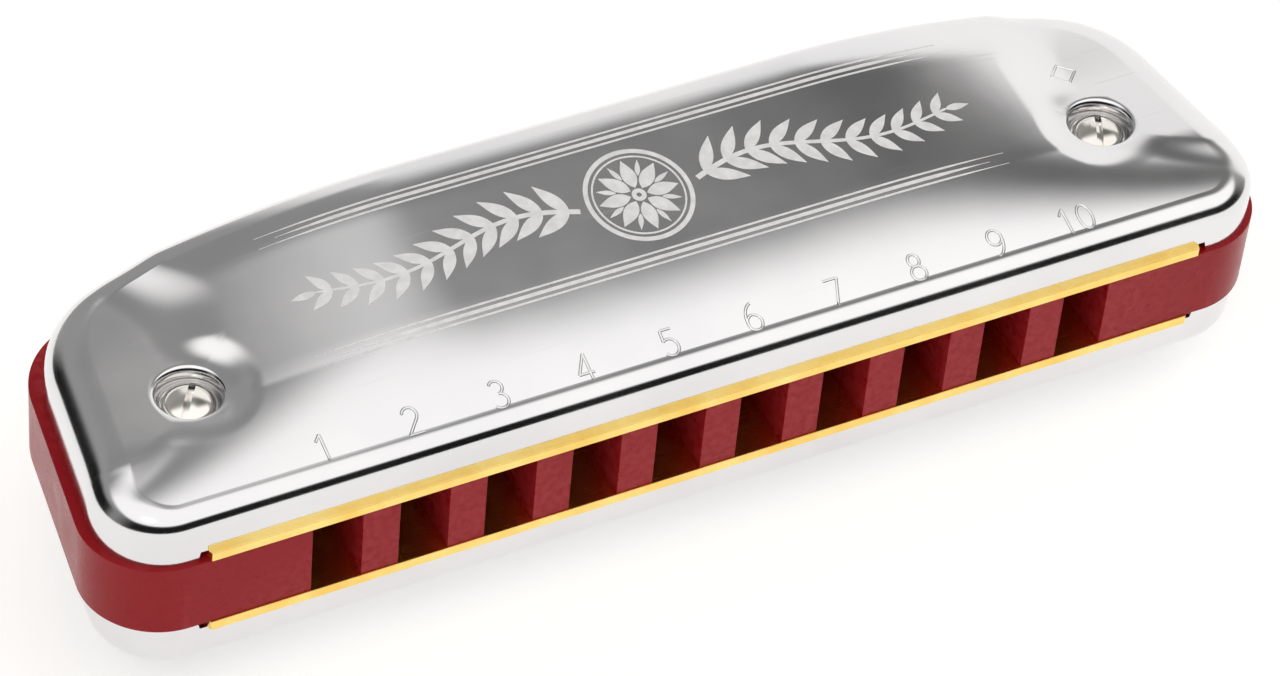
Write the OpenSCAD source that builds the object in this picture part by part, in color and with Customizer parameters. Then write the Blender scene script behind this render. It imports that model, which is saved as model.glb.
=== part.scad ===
// Ten-hole diatonic harmonica: plastic comb, two brass reed plates with twenty
// reeds, two pressed steel covers, and the screws and nuts that hold it together.
// Frame: X along the row of holes with hole 1 at -X, -Y towards the player's
// mouth, +Z towards the blow side. The origin is the centre of the comb's height.

/* [Comb] */
// Overall length of the comb
comb_length = 105.4; // [102:0.2:112]
// Overall depth of the instrument, front edge of the reed plates to back of the comb
body_depth = 28.3; // [27:0.1:30]
// Thickness of the comb between the two reed plates
comb_height = 7; // [6:0.1:9]
// Radius of the comb's two front corners, seen from above
front_radius = 6.6; // [5:0.1:8]
// Radius of the comb's two back corners, seen from above
back_radius = 8; // [6:0.1:9]
// Angle by which each end narrows towards the back, in degrees
end_taper = 7.6; // [4:0.1:9]

/* [Holes] */
// Distance between the centres of neighbouring holes
hole_pitch = 7.5; // [7.4:0.05:7.6]
// Width of each hole and of the air chamber behind it
hole_width = 4.3; // [4.2:0.05:4.6]
// Y position of the back wall of chamber 1
first_chamber_back = 9.4; // [9:0.1:9.8]
// Y position of the back wall of chamber 10
last_chamber_back = 4.4; // [4:0.1:6]

/* [Reed plates] */
// Thickness of each brass reed plate
plate_thickness = 0.9; // [0.8:0.05:1.05]
// Distance by which the plates stand proud of the comb's front face
plate_proud = 0.15; // [0:0.05:0.3]
// Half length of the plate's exposed front edge
plate_front_half = 44.4; // [43:0.1:45]
// Half length of the plate under the cover
plate_half = 47; // [46:0.1:47.5]
// Y position of the plates' back edge
plate_back = 12.6; // [12.4:0.1:12.8]

/* [Reeds] */
// Length of the free tongue of reed 1
first_reed = 15.6; // [14:0.1:16]
// Length of the free tongue of reed 10
last_reed = 9.6; // [9:0.1:11]
// Width of each tongue
reed_width = 2; // [1.6:0.05:2.2]
// Thickness of each tongue
reed_thickness = 0.25; // [0.15:0.05:0.35]
// Clearance between a tongue and its slot, on each side
reed_clearance = 0.08; // [0.05:0.01:0.15]
// Gap between a resting tongue and the plate that it lies over
reed_offset = 0.1; // [0.05:0.05:0.15]
// Length of the riveted pad at the root of each reed
pad_length = 2.8; // [2.4:0.1:3]
// Thickness of the riveted pad
pad_thickness = 0.4; // [0.3:0.05:0.5]
// Radius of the rivets
rivet_radius = 0.55; // [0.4:0.05:0.6]
// Y position of the joint between pad and tongue on the blow reeds
blow_root = -8.2; // [-8.6:0.1:-8]
// Y position of the joint between pad and tongue on draw reed 1
draw_root = 8; // [7.6:0.1:8.2]

/* [Covers] */
// Thickness of the cover sheet
sheet = 0.5; // [0.4:0.05:0.6]
// Distance from the comb's ends to the cover's ends
cover_inset = 0.7; // [0.5:0.1:1]
// Distance from the comb's front face to the cover's front
cover_setback = 0.35; // [0.3:0.05:1.2]
// Y position of the cover's back corners
cover_back = 13.2; // [13:0.1:13.6]
// Radius of the cover's two back corners, seen from above
cover_corner = 9.6; // [7.3:0.1:10]
// Distance by which the middle of the cover's back edge bows out past its corners
back_bow = 0.3; // [0.2:0.1:0.5]
// Height of the bead along the front edge, above the comb's mid-plane
bead_top = 8.3; // [7.8:0.1:8.6]
// Height of the shelf at each screw, above the comb's mid-plane
shelf_top = 8.6; // [8.4:0.1:8.9]
// Height of the back ridge at its middle, above the comb's mid-plane
ridge_top = 12.9; // [12:0.1:14]
// Drop of the ridge from its middle to the ends of the back edge
ridge_arch = 3; // [2:0.1:3.5]
// Slope of the dome just behind the bead, as a multiple of its slope further back
front_steepness = 2.4; // [1:0.1:3]
// Height of the turned-down lip along the open back
lip_height = 2.6; // [2.4:0.1:2.8]

/* [Fasteners] */
// X position of the two cover screws, each side of the middle
screw_x = 41.2; // [41:0.1:41.6]
// Y position of the cover screws
screw_y = -1.8; // [-2.2:0.1:-0.8]
// Radius of the screws' shanks
shank_radius = 0.9; // [0.8:0.05:1]
// Radius of the screws' domed heads
head_radius = 2.15; // [2:0.05:2.3]
// Radius of the round dimple that each head sits in
dimple_radius = 2.8; // [2.7:0.05:3.1]
// Depth of the dimple below the shelf
dimple_depth = 1; // [0.7:0.05:1.1]
// Direction of the left screw's slot, in degrees from +X
left_slot_turn = 56; // [0:1:180]
// Direction of the right screw's slot, in degrees from +X
right_slot_turn = 65; // [0:1:180]

/* [Hidden] */
HOLES = 10;
BLOW_REEDS = [for (i = [1:HOLES]) str("blow_reed_", i)];
DRAW_REEDS = [for (i = [1:HOLES]) str("draw_reed_", i)];

ROUND = 48;                              // sides shown on round parts
CUT = 0.5;                               // overrun of cutting tools past a face

STEEL = [0.82, 0.82, 0.84];
BRASS = [0.93, 0.76, 0.32];
RED = [0.62, 0.08, 0.13];

plate_front = -body_depth / 2;
comb_front = plate_front + plate_proud;
comb_back = body_depth / 2;
comb_face = comb_height / 2;             // height of the comb's flat faces
plate_face = comb_face + plate_thickness; // height of the plates' outer faces

// Centres of the corner circles that an outline is built on. The back circle is
// placed so that the straight end is tangent to both circles.
function front_centre(half, front, r) = [half - r, front + r];
function back_centre(half, front, rf, back, rb) =
    let (c = front_centre(half, front, rf), y = back - rb)
    [c.x + (rf - rb - (y - c.y) * sin(end_taper)) / cos(end_taper), y];

// Points on the right-hand side of an outline, from the front edge round both
// corners to the back edge: each is [point, inward normal, share of the way].
function on_circle(c, r, a, share) =
    [c + r * [cos(a), sin(a)], -[cos(a), sin(a)], share];
function side(half, front, rf, back, rb, n_corner, n_end) =
    let (cf = front_centre(half, front, rf),
         cb = back_centre(half, front, rf, back, rb),
         normal = -[cos(end_taper), sin(end_taper)],
         low = cf - rf * normal,
         high = cb - rb * normal)
    concat(
        [for (k = [0:n_corner])
            on_circle(cf, rf, -90 + k * (90 + end_taper) / n_corner, k / n_corner)],
        [for (k = [1:n_end - 1])
            [low + (high - low) * k / n_end, normal, 1 + k / n_end]],
        [for (k = [0:n_corner])
            on_circle(cb, rb, end_taper + k * (90 - end_taper) / n_corner,
                      2 + k / n_corner)]);
function mirrored(p) = [-p.x, p.y];
function reversed(list) = [for (k = [len(list) - 1:-1:0]) list[k]];

module body_outline() {
    right = [for (s = side(comb_length / 2, comb_front, front_radius,
                           comb_back, back_radius, 12, 2)) s[0]];
    polygon(concat(right, reversed([for (p = right) mirrored(p)])));
}

// ---- Holes, reeds and their places ----
function hole_x(i) = (i - (HOLES + 1) / 2) * hole_pitch;
function share(i) = (i - 1) / (HOLES - 1);
function chamber_back(i) =
    first_chamber_back + share(i) * (last_chamber_back - first_chamber_back);
function reed_length(i) = first_reed + share(i) * (last_reed - first_reed);
// The draw reeds' roots follow the chambers' back walls
function draw_root_y(i) = draw_root + chamber_back(i) - first_chamber_back;
// Middle of a reed's pad; blow pads lie in front of the root, draw pads behind it
function blow_pad_y() = blow_root - pad_length / 2;
function draw_pad_y(i) = draw_root_y(i) + pad_length / 2;

// Small screws that hold each plate, at its front corners and along its back
plate_screws = [[-44.2, -8], [44.2, -8], [-30, 11.1], [0, 11.1], [30, 11.1]];
plate_shank = 0.6;
plate_head = 1.2;
plate_head_height = 0.5;
pilot_depth = 2.4;
shank_end = 0.1;                         // overlap of a shank into its own head
comb_play = 0.3;                         // clearance round a cover screw in the comb
sheet_play = 0.2;                        // the same in a plate or a cover

// The plate's front strip is narrower than the rest, which the covers hide
front_step = 1.9;                        // depth of the front strip
step_lean = 0.7;                         // by which the strip widens towards the back
step_slope = 0.4;                        // depth of the slope out to the full width
plate_corner = 6.4;                      // chamfer of the back corners

rivet_head = 0.35;                       // height of a rivet's head
rivet_rim = 0.3;                         // by which the head is wider than the shank

module at_cover_screws() {
    for (side = [-1, 1]) translate([side * screw_x, screw_y, 0]) children();
}

// ---- Comb ----
module comb() {
    color(RED)
    difference() {
        translate([0, 0, -comb_face]) linear_extrude(comb_height) body_outline();
        for (i = [1:HOLES])
            translate([hole_x(i) - hole_width / 2, comb_front - CUT, -comb_face - CUT])
                cube([hole_width, chamber_back(i) - comb_front + CUT,
                      comb_height + 2 * CUT]);
        at_cover_screws()
            cylinder(h = comb_height + 2 * CUT, r = shank_radius + comb_play,
                     center = true, $fn = ROUND);
        for (p = plate_screws, end = [0, 1])
            mirror([0, 0, end]) translate([p.x, p.y, comb_face - pilot_depth])
                cylinder(h = pilot_depth + CUT, r = plate_shank, $fn = ROUND);
    }
}

// ---- Reed plates ----
module plate_outline() {
    step_y = plate_front + front_step;
    right = [[plate_front_half, plate_front], [plate_front_half + step_lean, step_y],
             [plate_half, step_y + step_slope], [plate_half, plate_back - plate_corner],
             [plate_half - plate_corner, plate_back]];
    polygon(concat(right, reversed([for (p = right) mirrored(p)])));
}

// One reed slot, from just behind the tongue's root to just past its tip
module slot(x, root, length, direction) {
    run = length + 2 * reed_clearance;
    width = reed_width + 2 * reed_clearance;
    start = direction > 0 ? root - reed_clearance : root + reed_clearance - run;
    translate([x - width / 2, start, comb_face - CUT])
        cube([width, run, plate_thickness + 2 * CUT]);
}

// A plate in its upper position, with slots and rivet holes for one set of reeds
module plate(roots, pads, direction) {
    color(BRASS)
    difference() {
        translate([0, 0, comb_face]) linear_extrude(plate_thickness) plate_outline();
        for (i = [1:HOLES]) {
            slot(hole_x(i), roots[i - 1], reed_length(i), direction);
            translate([hole_x(i), pads[i - 1], comb_face - CUT])
                cylinder(h = plate_thickness + 2 * CUT, r = rivet_radius, $fn = ROUND);
        }
        at_cover_screws() translate([0, 0, comb_face - CUT])
            cylinder(h = plate_thickness + 2 * CUT, r = shank_radius + sheet_play,
                     $fn = ROUND);
        for (p = plate_screws) translate([p.x, p.y, comb_face - CUT])
            cylinder(h = plate_thickness + 2 * CUT, r = plate_shank, $fn = ROUND);
    }
}

blow_roots = [for (i = [1:HOLES]) blow_root];
blow_pads = [for (i = [1:HOLES]) blow_pad_y()];
draw_roots = [for (i = [1:HOLES]) draw_root_y(i)];
draw_pads = [for (i = [1:HOLES]) draw_pad_y(i)];

module blow_reed_plate() { plate(blow_roots, blow_pads, 1); }
module draw_reed_plate() { mirror([0, 0, 1]) plate(draw_roots, draw_pads, -1); }

// ---- Reed pads and rivets ----
// Blow pads hang under the upper plate; draw pads lie outside the lower plate
module pad(x, y, low) {
    difference() {
        translate([x - reed_width / 2, y - pad_length / 2, low])
            cube([reed_width, pad_length, pad_thickness]);
        translate([x, y, low - CUT])
            cylinder(h = pad_thickness + 2 * CUT, r = rivet_radius, $fn = ROUND);
    }
}

// A rivet whose head covers the pad and whose shank fills the plate
module rivet(x, y, shank_low, shank_high, head_low) {
    translate([x, y, shank_low])
        cylinder(h = shank_high - shank_low, r = rivet_radius, $fn = ROUND);
    translate([x, y, head_low])
        cylinder(h = rivet_head, r = rivet_radius + rivet_rim, $fn = ROUND);
}

module blow_reed_pads() {
    color(BRASS) for (i = [1:HOLES])
        pad(hole_x(i), blow_pad_y(), comb_face - pad_thickness);
}
module draw_reed_pads() {
    color(BRASS) for (i = [1:HOLES])
        pad(hole_x(i), draw_pad_y(i), -plate_face - pad_thickness);
}
module blow_reed_rivets() {
    color(BRASS) for (i = [1:HOLES])
        rivet(hole_x(i), blow_pad_y(), comb_face - pad_thickness, plate_face,
              comb_face - pad_thickness - rivet_head);
}
module draw_reed_rivets() {
    color(BRASS) for (i = [1:HOLES])
        rivet(hole_x(i), draw_pad_y(i), -plate_face - pad_thickness, -comb_face,
              -plate_face - pad_thickness - rivet_head);
}

// ---- Reed tongues ----
// A tongue runs from its root towards its tip, with a small gap at the pad
module tongue(x, root, length, direction, low) {
    start = direction > 0 ? root : root - length;
    color(BRASS) translate([x - reed_width / 2, start, low])
        cube([reed_width, length, reed_thickness]);
}
module blow_reed(i) {
    tongue(hole_x(i), blow_root + reed_clearance, reed_length(i) - reed_clearance, 1,
           comb_face - reed_offset - reed_thickness);
}
module draw_reed(i) {
    tongue(hole_x(i), draw_root_y(i) - reed_clearance, reed_length(i) - reed_clearance,
           -1, -plate_face - reed_offset - reed_thickness);
}

// ---- Covers ----
cover_half = comb_length / 2 - cover_inset;
cover_front = comb_front + cover_setback;
cover_front_r = front_radius - cover_inset;
cover_back_r = cover_corner;
front_shoulder = 1.9;                    // width of the bead along the front
end_shoulder = 3.4;                      // width of the rounded shoulder at the ends
back_shoulder = 2.6;                     // width of the roll along the back ridge
front_drop = 1.8;                        // height of the bead
end_drop = 2.8;                          // height of the end shoulders
back_drop = 2;                           // height of the roll along the back ridge
shelf_edge = 36.3;                       // where the dome starts to fall to the shelf
shelf_fall = 6.4;                        // distance over which it falls
seat_blend = 3.4;                        // width of the slope round a screw's flat seat
lip_end = 39.5;                          // where the lip gives way to the end skirt
shelf_dip = 0.35;                        // by which the shelf falls to the front bead
shelf_dip_from = -6.5;                   // Y where that fall begins
shelf_rise = 0.9;                        // by which the shelf rises to the back
shelf_rise_from = 2.5;                   // Y where that rise begins
flat_half = 18;                          // half of the straight stretch of the ridge
ridge_run = 24.9;                        // from there to where it has fallen by ridge_arch
ridge_bend = 2;                          // power by which the ridge falls past it
front_flare = 15.5;                      // by which the dome widens at its front
flare_from = -2.5;                       // Y where that widening begins
flare_run = 8.5;                         // distance over which it grows
flare_bend = 1.25;                       // power by which it grows
back_flare = 4.5;                          // the same towards the back
back_flare_from = 5;
back_flare_run = 8;

function smooth(t) = let (u = min(1, max(0, t))) u * u * (3 - 2 * u);
function mix(a, b, t) = a + (b - a) * t;

// Share of the ridge's fall that lies between its straight stretch and a point
function past_flat(x) = max(0, (abs(x) - flat_half) / ridge_run);
function bow(x) = back_bow * max(0, 1 - pow(past_flat(x), 2));

// Edge of the dome, where it starts to fall to the shelf: it flares out to the
// front corners and a little towards the back
function dome_edge(y) = shelf_edge
    + front_flare * pow(max(0, flare_from - y) / flare_run, flare_bend)
    + back_flare * pow(max(0, y - back_flare_from) / back_flare_run, 2);

// Share of the dome's height reached at a share t of the way from bead to ridge:
// steep behind the bead, then an even slope, then level at the ridge
STEEP_TO = 0.2;
EVEN_TO = 0.85;
function climb(t) =
    let (a = min(t, STEEP_TO), b = min(max(t - STEEP_TO, 0), EVEN_TO - STEEP_TO),
         c = max(t - EVEN_TO, 0), extra = front_steepness - 1)
    a + extra * (a - a * a / (2 * STEEP_TO)) + b + c - c * c / (2 * (1 - EVEN_TO));

// Height of the shelf: level at the screw, lower in front and higher behind
function shelf_z(y) =
    let (start = cover_front + front_shoulder, ridge_y = cover_back - back_shoulder)
    shelf_top
        - shelf_dip * pow(max(0, (shelf_dip_from - y) / (shelf_dip_from - start)), 2)
        + shelf_rise * smooth((y - shelf_rise_from) / (ridge_y - shelf_rise_from));

// Height of the cover's outer surface at a point, above the comb's mid-plane
function cover_z(x, y) =
    let (start = cover_front + front_shoulder,
         ridge_y = cover_back - back_shoulder + bow(x),
         t = min(1, max(0, (y - start) / (ridge_y - start))),
         rise = climb(t) / climb(1),
         ridge = ridge_top - ridge_arch * pow(past_flat(x), ridge_bend),
         dome = bead_top + (ridge - bead_top) * rise,
         fall = smooth((abs(x) - dome_edge(y)) / shelf_fall),
         off_screw = norm([abs(x) - screw_x, y - screw_y]) - dimple_radius - sheet,
         level = 1 - smooth(off_screw / seat_blend))
    mix(mix(dome, shelf_z(y), fall), shelf_top, level);

// Width of the shoulder round the side of the outline, by share of the way
function side_shoulder(share) = share < 1
    ? mix(front_shoulder, end_shoulder, smooth(share))
    : mix(end_shoulder, back_shoulder, smooth(share - 2));
function side_drop(share) = share < 1
    ? mix(front_drop, end_drop, smooth(share))
    : mix(end_drop, back_drop, smooth(share - 2));

N_ACROSS = 28;                           // cells from end to end
INNER = 8;                               // of which these lie on the plain dome
INNER_SHARE = 0.7;                       // share of the length that they cover
N_CORNER = 3;
N_END = 8;
// Shares of the half length, closer together over the ends
function across(k) = let (u = abs(k - N_ACROSS / 2))
    sign(k - N_ACROSS / 2) * (u <= INNER / 2
        ? INNER_SHARE * u / (INNER / 2)
        : INNER_SHARE
            + (1 - INNER_SHARE) * (u - INNER / 2) / ((N_ACROSS - INNER) / 2));

cover_side = side(cover_half, cover_front, cover_front_r,
                  cover_back, cover_back_r, N_CORNER, N_END);
N_ROWS = len(cover_side) - 1;

// Top of the cover: rows from front to back, with the two sides as row ends
function row_end(j) = cover_side[j][0]
    + cover_side[j][1] * side_shoulder(cover_side[j][2]);
function top_point(i, j) = let (e = row_end(j), x = e.x * across(i),
        bowed = smooth(e.y / (cover_back - back_shoulder)))
    [x, e.y + bowed * bow(x)];

// One loop round the cover's edge: [outline point, inward normal, shoulder's width
// and height]
edge_loop = concat(
    [for (i = [0:N_ACROSS]) [[row_end(0).x * across(i), cover_front], [0, 1],
                             front_shoulder, front_drop]],
    [for (j = [1:N_ROWS]) let (s = cover_side[j])
        [s[0], s[1], side_shoulder(s[2]), side_drop(s[2])]],
    [for (i = [N_ACROSS - 1:-1:0]) let (x = row_end(N_ROWS).x * across(i))
        [[x, cover_back + bow(x)], [0, -1], back_shoulder, back_drop]],
    [for (j = [N_ROWS - 1:-1:1]) let (s = cover_side[j])
        [mirrored(s[0]), mirrored(s[1]), side_shoulder(s[2]), side_drop(s[2])]]);
N_LOOP = len(edge_loop);
function grid(i, j) = j * (N_ACROSS + 1) + i;
edge_grid = concat(
    [for (i = [0:N_ACROSS]) grid(i, 0)],
    [for (j = [1:N_ROWS]) grid(N_ACROSS, j)],
    [for (i = [N_ACROSS - 1:-1:0]) grid(i, N_ROWS)],
    [for (j = [N_ROWS - 1:-1:1]) grid(0, j)]);

SHOULDER_ANGLES = [0, 30, 60];
// Edge ring at one angle of the shoulder; depth is 0 outside and sheet inside
function ring(angle, depth) = [for (e = edge_loop)
    let (p = e[0] + e[1] * (e[2] - (e[2] - depth) * cos(angle)),
         q = e[0] + e[1] * e[2],
         z = cover_z(q.x, q.y) - e[3] + (e[3] - depth) * sin(angle))
    [p.x, p.y, z]];
// Lower edge of the skirt, or of the lip along the open back
function skirt_foot(depth) = [for (e = edge_loop)
    let (p = e[0] + e[1] * depth, q = e[0] + e[1] * e[2],
         is_lip = e[1].y < -0.99 && abs(q.x) < lip_end)
    [p.x, p.y, is_lip ? cover_z(q.x, q.y) - lip_height : comb_face]];
function skin(depth) = concat(
    [for (j = [0:N_ROWS], i = [0:N_ACROSS])
        let (p = top_point(i, j)) [p.x, p.y, cover_z(p.x, p.y) - depth]],
    [for (a = reversed(SHOULDER_ANGLES)) each ring(a, depth)],
    skirt_foot(depth));

N_GRID = (N_ACROSS + 1) * (N_ROWS + 1);
N_RINGS = len(SHOULDER_ANGLES) + 1;
N_SKIN = N_GRID + N_RINGS * N_LOOP;
// Index of a loop vertex: ring 0 is the grid's own edge, the last is the foot
function loop(r, k) = r == 0 ? edge_grid[k % N_LOOP]
                             : N_GRID + (r - 1) * N_LOOP + k % N_LOOP;
skin_faces = concat(
    [for (j = [0:N_ROWS - 1], i = [0:N_ACROSS - 1]) each
        [[grid(i, j), grid(i, j + 1), grid(i + 1, j + 1)],
         [grid(i, j), grid(i + 1, j + 1), grid(i + 1, j)]]],
    [for (r = [0:N_RINGS - 1], k = [0:N_LOOP - 1]) each
        [[loop(r, k), loop(r, k + 1), loop(r + 1, k + 1)],
         [loop(r, k), loop(r + 1, k + 1), loop(r + 1, k)]]]);
shell_faces = concat(
    skin_faces,
    [for (f = skin_faces) [f[0] + N_SKIN, f[2] + N_SKIN, f[1] + N_SKIN]],
    [for (k = [0:N_LOOP - 1]) let (a = loop(N_RINGS, k), b = loop(N_RINGS, k + 1))
        each [[a, b, b + N_SKIN], [a, b + N_SKIN, a + N_SKIN]]]);

// Half length of the front skirt's step over the plate
skirt_step = plate_front_half + step_lean + sheet_play;

// Round seat pressed into the shelf for a screw head or a nut
module screw_seat() {
    wall = dimple_radius + sheet;
    low = shelf_top - dimple_depth - sheet;
    difference() {
        translate([0, 0, low])
            cylinder(h = shelf_top - low, r = wall, $fn = ROUND);
        translate([0, 0, low + sheet])
            cylinder(h = dimple_depth + CUT, r = dimple_radius, $fn = ROUND);
        translate([0, 0, low - CUT])
            cylinder(h = 2 * CUT + sheet, r = shank_radius + sheet_play, $fn = ROUND);
    }
}

module cover() {
    color(STEEL) {
        difference() {
            polyhedron(concat(skin(0), skin(sheet)), shell_faces, convexity = 6);
            // Step that lets the front skirt stand on the plate
            translate([-skirt_step, cover_front - CUT, comb_face - CUT])
                cube([2 * skirt_step, 2 * CUT + sheet, plate_thickness + CUT]);
            at_cover_screws() translate([0, 0, plate_face])
                cylinder(h = ridge_top, r = dimple_radius + sheet / 2, $fn = ROUND);
        }
        at_cover_screws() screw_seat();
    }
}
module top_cover() { cover(); }
module bottom_cover() { mirror([0, 0, 1]) cover(); }

// ---- Fasteners ----
seat_top = shelf_top - dimple_depth;
head_height = 1.15;
dome_radius = 4.4;                       // of the screw head's rounded top
nut_height = 1.2;
nut_radius = 2.05;                       // to the hexagon's corners
slot_width = 0.55;
slot_depth = 0.6;

module cover_screw(slot_turn) {
    nut_low = -seat_top - nut_height;
    difference() {
        union() {
            translate([0, 0, seat_top]) intersection() {
                cylinder(h = head_height, r = head_radius, $fn = ROUND);
                translate([0, 0, head_height - dome_radius])
                    sphere(r = dome_radius, $fn = 96);
            }
            translate([0, 0, nut_low])
                cylinder(h = seat_top - nut_low + shank_end, r = shank_radius,
                         $fn = ROUND);
        }
        translate([0, 0, seat_top + head_height - slot_depth]) rotate(slot_turn)
            translate([-head_radius - CUT, -slot_width / 2, 0])
                cube([2 * head_radius + 2 * CUT, slot_width, slot_depth + CUT]);
    }
}

module cover_screws() {
    color(STEEL) {
        translate([-screw_x, screw_y, 0]) cover_screw(left_slot_turn);
        translate([screw_x, screw_y, 0]) cover_screw(right_slot_turn);
    }
}

module cover_nuts() {
    color(STEEL) at_cover_screws() translate([0, 0, -seat_top - nut_height])
        difference() {
            cylinder(h = nut_height, r = nut_radius, $fn = 6);
            translate([0, 0, -CUT])
                cylinder(h = nut_height + 2 * CUT, r = shank_radius, $fn = ROUND);
        }
}

module reed_plate_screws() {
    color(STEEL) for (p = plate_screws, end = [0, 1])
        mirror([0, 0, end]) translate([p.x, p.y, 0]) {
            translate([0, 0, comb_face - pilot_depth])
                cylinder(h = pilot_depth + plate_thickness + shank_end,
                         r = plate_shank, $fn = ROUND);
            translate([0, 0, plate_face])
                cylinder(h = plate_head_height, r = plate_head, $fn = ROUND);
        }
}

comb();
blow_reed_plate();
draw_reed_plate();
top_cover();
bottom_cover();
cover_screws();
cover_nuts();
reed_plate_screws();
blow_reed_pads();
draw_reed_pads();
blow_reed_rivets();
draw_reed_rivets();
for (i = [1:HOLES]) {
    blow_reed(i);
    draw_reed(i);
}
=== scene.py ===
import math

import bmesh
import bpy
import numpy as np
from mathutils import Matrix, Vector


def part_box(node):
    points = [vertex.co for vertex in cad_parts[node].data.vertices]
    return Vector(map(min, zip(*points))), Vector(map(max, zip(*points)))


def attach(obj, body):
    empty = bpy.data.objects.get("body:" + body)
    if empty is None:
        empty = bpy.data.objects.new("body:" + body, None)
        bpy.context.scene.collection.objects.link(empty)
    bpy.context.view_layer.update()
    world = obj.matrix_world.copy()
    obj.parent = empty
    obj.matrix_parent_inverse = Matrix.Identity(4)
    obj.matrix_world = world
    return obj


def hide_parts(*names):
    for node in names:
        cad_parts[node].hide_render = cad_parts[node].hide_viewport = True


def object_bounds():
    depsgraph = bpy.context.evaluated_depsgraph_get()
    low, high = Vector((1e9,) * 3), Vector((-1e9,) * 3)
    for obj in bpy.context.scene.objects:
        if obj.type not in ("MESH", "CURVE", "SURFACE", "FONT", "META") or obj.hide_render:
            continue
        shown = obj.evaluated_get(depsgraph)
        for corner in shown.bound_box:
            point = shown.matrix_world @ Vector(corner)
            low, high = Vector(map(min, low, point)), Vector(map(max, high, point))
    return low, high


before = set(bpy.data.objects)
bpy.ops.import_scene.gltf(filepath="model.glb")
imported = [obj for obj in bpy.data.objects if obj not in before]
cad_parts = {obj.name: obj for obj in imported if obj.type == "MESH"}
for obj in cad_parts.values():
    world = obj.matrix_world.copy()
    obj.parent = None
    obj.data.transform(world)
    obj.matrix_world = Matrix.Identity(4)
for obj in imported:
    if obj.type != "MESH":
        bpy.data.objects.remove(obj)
cad_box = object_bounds()

# A ten-hole diatonic harmonica: red plastic comb, two brass reed plates, twenty
# reeds, two polished steel covers and their fasteners. Lengths in this script are
# in millimetres in the CAD frame, unless a name says otherwise: X along the holes,
# -Y towards the player's mouth, +Z towards the blow side.
MM = 0.001


def box_mm(node):
    """Lowest and highest corner of a CAD node, in millimetres."""
    low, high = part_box(node)
    return np.array(low) / MM, np.array(high) / MM


# ---- Sizes taken from the frame ----
comb_low, comb_high = box_mm("comb")
plate_low, plate_high = box_mm("blow_reed_plate")
cover_low, cover_high = box_mm("top_cover")
screw_low, screw_high = box_mm("cover_screws")
nut_low, nut_high = box_mm("cover_nuts")

COMB_FRONT = comb_low[1]
COMB_HALF, COMB_BACK, COMB_FACE = comb_high
PLATE_FRONT = plate_low[1]
PLATE_HALF, PLATE_BACK, PLATE_FACE = plate_high
COVER_HALF = cover_high[0]
COVER_FRONT = cover_low[1]
RIDGE_TOP = cover_high[2]
HEAD_TOP = screw_high[2]
NUT_LOW = nut_low[2]
NUT_HIGH = nut_high[2]

# ---- Sizes that the outlines, covers and fasteners share with the CAD design ----
END_TAPER = math.radians(7.6)
FRONT_RADIUS = 6.6
BACK_RADIUS = 8.0
COVER_INSET = COMB_HALF - COVER_HALF
BACK_BOW = 0.3
COVER_BACK = cover_high[1] - BACK_BOW
SHEET = 0.5
BEAD_TOP = 8.3
RIDGE_ARCH = 3.0
COVER_CORNER = 9.6
FRONT_SHOULDER = 1.9
END_SHOULDER = 3.4
BACK_SHOULDER = 2.6
FRONT_DROP = 1.8
END_DROP = 2.8
BACK_DROP = 2.0
LIP_HEIGHT = 2.6
LIP_END = 39.5
FLAT_HALF = 18.0
RIDGE_RUN = 24.9
SCREW_X = 41.2
SCREW_Y = (screw_low[1] + screw_high[1]) / 2
SCREWS = [(-SCREW_X, SCREW_Y, 0), (SCREW_X, SCREW_Y, 0)]
SEAT_Z = -NUT_HIGH
SKIRT_STEP = 45.3
HOLES = 10
HOLE_PITCH = 7.5
HOLE_WIDTH = 4.3
PLATE_SCREWS = [(-44.2, -8.0), (44.2, -8.0), (-30.0, 11.1), (0.0, 11.1), (30.0, 11.1)]


def smooth(t):
    u = np.clip(t, 0, 1)
    return u * u * (3 - 2 * u)


def mix(a, b, t):
    return a + (b - a) * t


# ---- Meshes ----
def new_mesh(name, points, faces, sharp=35):
    """A closed mesh from points in millimetres, smooth but for its sharp edges."""
    mesh = bpy.data.meshes.new(name)
    mesh.from_pydata([Vector(p) * MM for p in points], [], faces)
    work = bmesh.new()
    work.from_mesh(mesh)
    loose = [v for v in work.verts if not v.link_faces]
    bmesh.ops.delete(work, geom=loose, context="VERTS")
    bmesh.ops.recalc_face_normals(work, faces=work.faces)
    work.to_mesh(mesh)
    work.free()
    mesh.shade_smooth()
    mesh.set_sharp_from_angle(angle=math.radians(sharp))
    return mesh


def new_object(name, points, faces, material=None, sharp=35):
    thing = bpy.data.objects.new(name, new_mesh(name, points, faces, sharp))
    bpy.context.scene.collection.objects.link(thing)
    if material is not None:
        thing.data.materials.append(material)
    return thing


def place(thing, body, slot, *replaced):
    """Rides a piece on its body and hides what it stands for; the slot is not used."""
    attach(thing, body)
    if replaced:
        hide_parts(*replaced)
    return thing


class Shapes:
    """Closed shapes gathered into one mesh."""

    def __init__(self):
        self.points = []
        self.faces = []

    def add(self, points, faces, at=(0, 0, 0), flip=False):
        base = len(self.points)
        side = -1 if flip else 1
        self.points += [(p[0] + at[0], p[1] + at[1], side * (p[2] + at[2])) for p in points]
        self.faces += [tuple(base + k for k in face) for face in faces]

    def object(self, name, material, sharp=35):
        return new_object(name, self.points, self.faces, material, sharp)


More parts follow.
